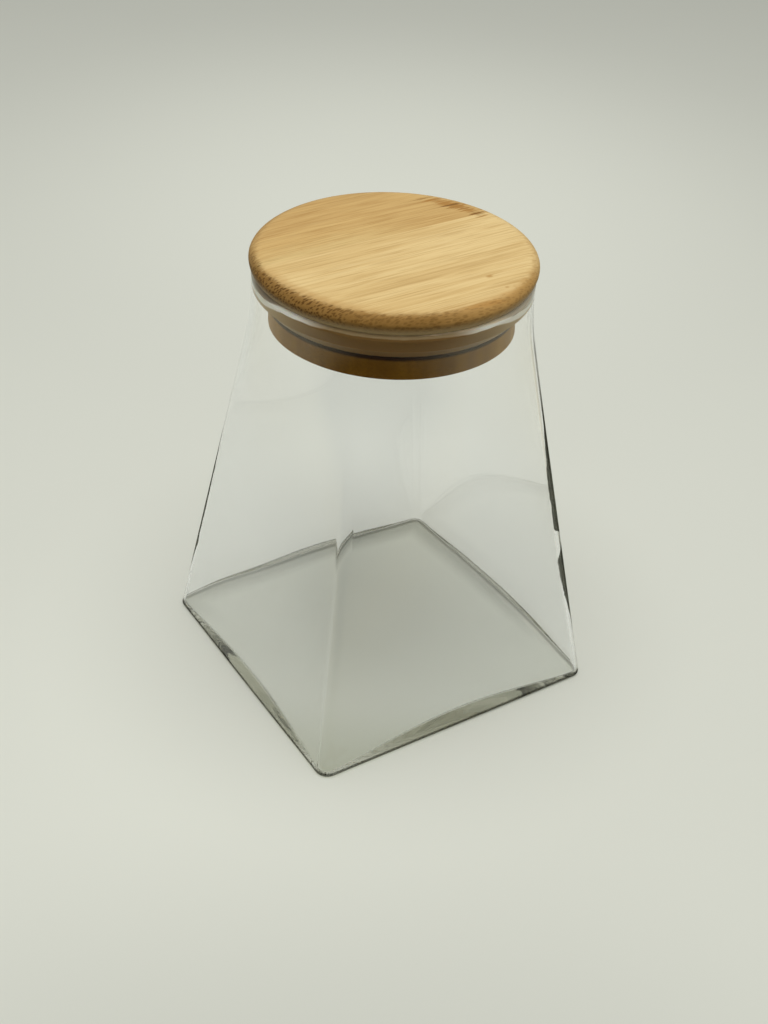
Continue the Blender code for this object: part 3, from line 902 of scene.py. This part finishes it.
def make_plug():
    shoulder_top = -(SEAL_HEIGHT + 2 * CLEARANCE)
    edge = arc((PLUG_RADIUS - PLUG_EDGE_ROUNDING, PLUG_EDGE_ROUNDING - PLUG_LENGTH),
               (PLUG_EDGE_ROUNDING, PLUG_EDGE_ROUNDING), 0, -90, PLUG_EDGE_STEPS)
    outline = [(0.0, 0.0), (GROOVE_RADIUS, 0.0), (GROOVE_RADIUS, shoulder_top), (PLUG_RADIUS, shoulder_top)]
    outline = lifted(outline + edge + [(0.0, -PLUG_LENGTH)])
    mesh = finish_mesh("bamboo_plug", turned_shape(outline), WOOD_SHARP_ANGLE)
    add_piece("bamboo_plug", mesh, "lid", plug_material(), "lid_plug")


# The silicone seal. Heights are above the lid's seat, and ahead is a share of the neck's radius.
# Its colours hold painted light and shade: a white band of painted light, painted shade above it with painted
# light on its top in front, a brown body lighter beside and darker in front, painted shade on the taper and a
# painted shadow at its foot.
SEAL_LIT_SIDE = (0.98, 0.95, 0.86, 1)
SEAL_LIT_FRONT = (0.42, 0.30, 0.16, 1)
SEAL_SHADED = (0.60, 0.59, 0.53, 1)
SEAL_SHADED_FRONT = (0.30, 0.245, 0.18, 1)
SEAL_SHADED_RIGHT = (0.55, 0.48, 0.37, 1)
SEAL_TOP_FRONT_LIGHT = (0.95, 0.78, 0.55, 1)
SEAL_BODY_SIDE = (0.61, 0.475, 0.285, 1)
SEAL_BODY_FRONT = (0.22, 0.12, 0.036, 1)
SEAL_TAPER_SHADE = (0.72, 0.70, 0.66, 1)
SEAL_FOOT_SHADOW = (0.022, 0.004, 0.0002, 1)
SEAL_CLOUDS = ((220, 220, 500), 2.0, 0.50)
SEAL_UNEVEN = 0.0006
BODY_AHEAD = (0.30, 1.0)
TAPER_HEIGHT = (-0.0048, -0.0058)
SEAL_FOOT_HEIGHT = (-0.0082, -0.0076)
LIT_AHEAD = (0.80, 0.98)
LIT_FROM = (0.40, 0.85, -0.0041, -0.0009)
LIT_FROM_FRONT = (0.85, 1.0, 0.0, 0.0005)
LIT_FROM_RIGHT = (0.0, 0.030, 0.0, -0.0003)
LIT_FROM_EDGE = (-0.0002, 0.0003)
LIT_TO = (0.20, 0.85, -0.0030, 0.0008)
LIT_TO_RIGHT = (0.0, 0.030, 0.0, -0.0006)
LIT_TO_EDGE = (-0.0003, 0.0003)
SHADED_RIGHT = (0.0, 0.030)
SHADED_AHEAD = (0.15, 0.45)
TOP_AHEAD = (0.60, 0.80)
SEAL_ROUGHNESS = 0.45
SEAL_SPECULAR = 0.08
SEAL_SCATTER = 0.3
SEAL_SCATTER_RADII = (0.003, 0.0022, 0.0015)
SEAL_SCATTER_SCALE = 0.2

# Its section: the band touches the neck, and the flange lies between the disc and the glass's lip.
SEAL_TOUCHES = 0.00005
BAND_TOP = -0.0013
BAND_FOOT = -0.0050
BAND_EDGE = 0.0002
FLANGE_START = 0.0395
FLANGE_RADIUS = 0.0412
FLANGE_GAP = 0.00004
FLANGE_STEPS = 8
FLANGE_EDGE = (
    (0.04145, 0.00045),
    (0.04164, 0.0),
    (0.04174, -0.0005),
    (0.04177, -0.0010),
    (0.04172, -0.00115),
)
LIP_START = 0.04166
LIP_END = BORE_RADIUS + 0.0004
LIP_STEPS = 12
SEAL_FOOT_RADIUS = 0.0371
SEAL_FOOT_ROUNDING = 0.0004
SEAL_FOOT_STEPS = 5
SEAL_SHARP_ANGLE = 40


def seal_place(tree):
    point = tree.node("ShaderNodeTexCoord").outputs["Object"]
    cloud = tree.centred(tree.pattern(point, SEAL_CLOUDS))
    height = tree.math("SUBTRACT", tree.split(point)[2], LID_SEAT)
    ahead = tree.math("ABSOLUTE", tree.along(point, FRONT_WAY))
    return SimpleNamespace(
        height=tree.total(height, tree.product(cloud, SEAL_UNEVEN)),
        ahead=tree.math("DIVIDE", ahead, BORE_RADIUS),
        right=tree.along(point, RIGHT_WAY))


def seal_body(tree, at):
    """The part below, brown for the wood behind it, lighter beside and darker in front as painted light and
    shade, with painted shade on its taper, down to the painted shadow in the dark gap over the plug.
    """
    body = tree.mixed(tree.ranged(at.ahead, *BODY_AHEAD), SEAL_BODY_SIDE, SEAL_BODY_FRONT)
    body = tree.mixed(tree.ranged(at.height, *TAPER_HEIGHT), body, tree.times(body, SEAL_TAPER_SHADE))
    return tree.mixed(tree.ranged(at.height, *SEAL_FOOT_HEIGHT), SEAL_FOOT_SHADOW, body)


def seal_shaded(tree, at):
    """The part above, in painted shade of the disc, with painted light on its top in front."""
    shaded = tree.mixed(tree.ranged(at.right, *SHADED_RIGHT), SEAL_SHADED_FRONT, SEAL_SHADED_RIGHT)
    shaded = tree.mixed(tree.ranged(at.ahead, *SHADED_AHEAD), SEAL_SHADED, shaded)
    return tree.mixed(tree.ranged(at.ahead, *TOP_AHEAD), shaded, SEAL_TOP_FRONT_LIGHT)


def seal_colour(tree, at):
    """The white band of painted light where light comes through, between the body below it and the painted
    shade above.
    """
    lit = tree.mixed(tree.ranged(at.ahead, *LIT_AHEAD), SEAL_LIT_SIDE, SEAL_LIT_FRONT)
    lit_from = tree.total(tree.ranged(at.ahead, *LIT_FROM), tree.ranged(at.ahead, *LIT_FROM_FRONT),
                          tree.ranged(at.right, *LIT_FROM_RIGHT))
    lit_to = tree.total(tree.ranged(at.ahead, *LIT_TO), tree.ranged(at.right, *LIT_TO_RIGHT))
    above = tree.ranged(tree.math("SUBTRACT", at.height, lit_from), *LIT_FROM_EDGE)
    colour = tree.mixed(above, seal_body(tree, at), lit)
    above = tree.ranged(tree.math("SUBTRACT", at.height, lit_to), *LIT_TO_EDGE)
    return tree.mixed(above, colour, seal_shaded(tree, at))


def silicone_material():
    """Milky silicone, which lets some light in."""
    material, tree = new_material("milky_silicone")
    surface = {"Base Color": seal_colour(tree, seal_place(tree)), "Roughness": SEAL_ROUGHNESS,
               "Specular IOR Level": SEAL_SPECULAR, "Subsurface Weight": SEAL_SCATTER,
               "Subsurface Radius": SEAL_SCATTER_RADII, "Subsurface Scale": SEAL_SCATTER_SCALE}
    tree.output(tree.node("ShaderNodeBsdfPrincipled", surface).outputs[0])
    return material


def under_disc(radius):
    """The height of the disc's underside over its seat."""
    share = max(0.0, (radius - DISC_RADIUS + DISC_LOWER_ROUNDING) / DISC_LOWER_ROUNDING)
    return DISC_WIDEST_HEIGHT * (1 - math.sqrt(1 - share ** 2))


def over_lip(radius):
    """The height of the glass's rounded lip over the lid's seat."""
    half = GLASS_WALL / 2
    return GLASS_HEIGHT - half - LID_SEAT + math.sqrt(half ** 2 - (radius - NECK_RADIUS + half) ** 2)


def flange_outline():
    """Out under the disc, round the edge, and back over the glass's lip."""
    upper = np.linspace(FLANGE_START, FLANGE_RADIUS, FLANGE_STEPS)
    lower = np.linspace(LIP_START, LIP_END, LIP_STEPS)
    outline = [(radius, under_disc(radius) - FLANGE_GAP) for radius in upper]
    outline += FLANGE_EDGE
    return outline + [(radius, over_lip(radius) + FLANGE_GAP) for radius in lower]


def seal_outline():
    """The seal's section: a flange, a band that presses on the neck, and a taper to the plug."""
    inside = GROOVE_RADIUS + CLEARANCE
    foot = -CLEARANCE - SEAL_HEIGHT
    band = BORE_RADIUS + SEAL_TOUCHES
    foot_edge = arc((SEAL_FOOT_RADIUS - SEAL_FOOT_ROUNDING, foot + SEAL_FOOT_ROUNDING),
                    (SEAL_FOOT_ROUNDING, SEAL_FOOT_ROUNDING), -30, -90, SEAL_FOOT_STEPS)
    outline = [(inside, -FLANGE_GAP)] + flange_outline()
    outline += [(band, BAND_TOP), (band, BAND_FOOT), (band - BAND_EDGE, BAND_FOOT - BAND_EDGE)]
    return lifted(outline + foot_edge + [(inside, foot)])


def make_seal():
    mesh = finish_mesh("silicone_ring", turned_shape(seal_outline(), closed=True), SEAL_SHARP_ANGLE)
    add_piece("silicone_ring", mesh, "seal", silicone_material(), "silicone_seal")


# The floor.
FLOOR_SIZE = 4.0
FLOOR_DROP = -0.0001
FLOOR_COLOUR = (0.70, 0.716, 0.648, 1)
FLOOR_GRAIN = ((9, 9, 9), 2.0, 0.50)
FLOOR_GRAIN_GAIN = 0.98
FLOOR_ROUGHNESS = 0.9
FLOOR_SPECULAR = 0.1
# Soft patches of painted light and painted shade: middle, radius of the full effect, radius where it ends,
# and gain.
FLOOR_PATCHES = (
    (-0.34, 0.22, 0.03, 0.28, 1.14),
    (0.01, -0.06, 0.03, 0.14, 1.05),
    (-0.095, 0.063, 0.0, 0.06, 1.08),
    (0.26, -0.17, 0.10, 0.24, 0.86),
)
# What glass shows of the floor: a little bluer for transmitted rays, and for glossy rays a painted warm
# reflection beside the jar and a painted dark reflection in front of it. That suits the photo's side only:
# from behind, the glass looks smoky.
THROUGH_GLASS = (1.0, 1.012, 1.05, 1)
WARM_VEIL = (1.0, 0.92, 0.74, 1)
WARM_BESIDE = (0.12, 0.34)
WARM_AHEAD = (0.04, 0.18)
UNLIT_FLOOR = (0.03, 0.025, 0.02, 1)
UNLIT_AHEAD = (0.11, 0.35)


def patched_floor(tree, point):
    grain = tree.pattern(point, FLOOR_GRAIN)
    colour = tree.mixed(grain, FLOOR_COLOUR, brighter(FLOOR_COLOUR, FLOOR_GRAIN_GAIN))
    for middle_x, middle_y, full, none, gain in FLOOR_PATCHES:
        away = tree.node("ShaderNodeVectorMath", {0: point, 1: (middle_x, middle_y, 0)}, operation="DISTANCE")
        near = tree.ranged(away.outputs["Value"], none, full)
        colour = tree.mixed(near, colour, brighter(FLOOR_COLOUR, gain))
    return colour


def seen_in_glass(tree, point, colour):
    path = tree.node("ShaderNodeLightPath")
    glossy = path.outputs["Is Glossy Ray"]
    colour = tree.mixed(path.outputs["Is Transmission Ray"], colour, tree.times(colour, THROUGH_GLASS))
    ahead = tree.along(point, FRONT_WAY)
    beside = tree.math("ABSOLUTE", tree.along(point, RIGHT_WAY))
    warm = tree.math("MAXIMUM", tree.ranged(beside, *WARM_BESIDE), tree.ranged(ahead, *WARM_AHEAD))
    colour = tree.mixed(tree.product(glossy, warm), colour, tree.times(colour, WARM_VEIL))
    unlit = tree.product(glossy, tree.ranged(ahead, *UNLIT_AHEAD))
    return tree.mixed(unlit, colour, UNLIT_FLOOR)


def floor_material():
    material, tree = new_material("pale_floor")
    point = tree.node("ShaderNodeTexCoord").outputs["Object"]
    colour = seen_in_glass(tree, point, patched_floor(tree, point))
    surface = {"Base Color": colour, "Roughness": FLOOR_ROUGHNESS, "Specular IOR Level": FLOOR_SPECULAR}
    tree.output(tree.node("ShaderNodeBsdfPrincipled", surface).outputs[0])
    return material


def make_floor():
    mesh = bpy.data.meshes.new("floor")
    corners = [(x * FLOOR_SIZE, y * FLOOR_SIZE, FLOOR_DROP) for x, y in ((-1, -1), (1, -1), (1, 1), (-1, 1))]
    mesh.from_pydata(corners, [], [(0, 1, 2, 3)])
    floor = add_to_scene("floor", mesh)
    mesh.materials.append(floor_material())


# The room's light, by height and by how far beside or behind the camera's view it comes from.
ROOM_COLOUR = (0.55, 0.56, 0.50, 1)
ROOM_LIGHT = (1.0, 1.0, 0.97, 1)
ROOM_LIGHT_STRENGTH = 0.85
GLOW_ABOVE = (0.50, 0.85, 0.06, 0.55)
GLOW_BESIDE = (0.45, 0.95, 0.0, 0.45)
GLOW_BEHIND = (0.2, 0.8, 0.0, 0.20)
BACK_WAY = (-0.835, 0.550, 0.0)

LAMP_PLACE = Vector((0.06, -0.02, 0.95))
LAMP_SIZE = 0.75
LAMP_WATTS = 6.1
LAMP_COLOUR = (1.0, 0.995, 0.97)

# The camera, from the photograph's perspective.
CAMERA_PLACE = Vector((0.34134, -0.22488, 0.35018))
CAMERA_TARGET = Vector((-0.00155, 0.00173, 0.05120))
CAMERA_ROLL = math.radians(2.794)
CAMERA_LENS = 54.517
CAMERA_SENSOR = 36.0
CAMERA_CLIP = (0.01, 50.0)


def make_world():
    """A pale room, whose light comes mostly from above and from the two sides of the camera's view."""
    world = bpy.data.worlds.new("soft_room")
    bpy.context.scene.world = world
    world.use_nodes = True
    tree = Tree(world.node_tree)
    way = tree.node("ShaderNodeTexCoord").outputs["Generated"]
    beside = tree.math("ABSOLUTE", tree.along(way, RIGHT_WAY))
    glow = tree.total(tree.ranged(tree.split(way)[2], *GLOW_ABOVE), tree.ranged(beside, *GLOW_BESIDE),
                      tree.ranged(tree.along(way, BACK_WAY), *GLOW_BEHIND))
    path = tree.node("ShaderNodeLightPath")
    looks = tree.math("MAXIMUM", path.outputs["Is Camera Ray"], path.outputs["Is Transmission Ray"])
    looks = tree.math("MAXIMUM", looks, path.outputs["Is Glossy Ray"])
    seen = tree.node("ShaderNodeBackground", {"Color": ROOM_COLOUR, "Strength": 1.0})
    strength = tree.product(glow, ROOM_LIGHT_STRENGTH)
    light = tree.node("ShaderNodeBackground", {"Color": ROOM_LIGHT, "Strength": strength})
    both = tree.node("ShaderNodeMixShader", {0: looks, 1: light.outputs[0], 2: seen.outputs[0]})
    tree.output(both.outputs[0], "ShaderNodeOutputWorld")


def make_lamp():
    """A wide lamp overhead, which glass doesn't show."""
    lamp = bpy.data.lights.new("overhead", "AREA")
    lamp.shape = "DISK"
    lamp.size = LAMP_SIZE
    lamp.energy = LAMP_WATTS
    lamp.color = LAMP_COLOUR
    item = add_to_scene("overhead", lamp)
    item.location = LAMP_PLACE
    item.rotation_euler = (-LAMP_PLACE).to_track_quat("-Z", "Y").to_euler()
    item.visible_glossy = False
    item.visible_transmission = False


def make_camera():
    camera = bpy.data.cameras.new("camera")
    camera.sensor_width = CAMERA_SENSOR
    camera.lens = CAMERA_LENS
    camera.clip_start, camera.clip_end = CAMERA_CLIP
    item = add_to_scene("camera", camera)
    turn = (CAMERA_TARGET - CAMERA_PLACE).to_track_quat("-Z", "Y").to_matrix()
    turn = turn @ Matrix.Rotation(CAMERA_ROLL, 3, "Z")
    item.matrix_world = Matrix.Translation(CAMERA_PLACE) @ turn.to_4x4()
    bpy.context.scene.camera = item


def set_up_view():
    """Enough bounces for light that is thrown back and forth in the glass."""
    scene = bpy.context.scene
    scene.view_settings.view_transform = "Standard"
    scene.cycles.transparent_max_bounces = 16
    scene.cycles.transmission_bounces = 24
    scene.cycles.glossy_bounces = 36
    scene.cycles.max_bounces = 48


make_glass()
make_strips()
make_plug()
make_seal()
make_floor()
make_world()
make_lamp()
make_camera()
set_up_view()
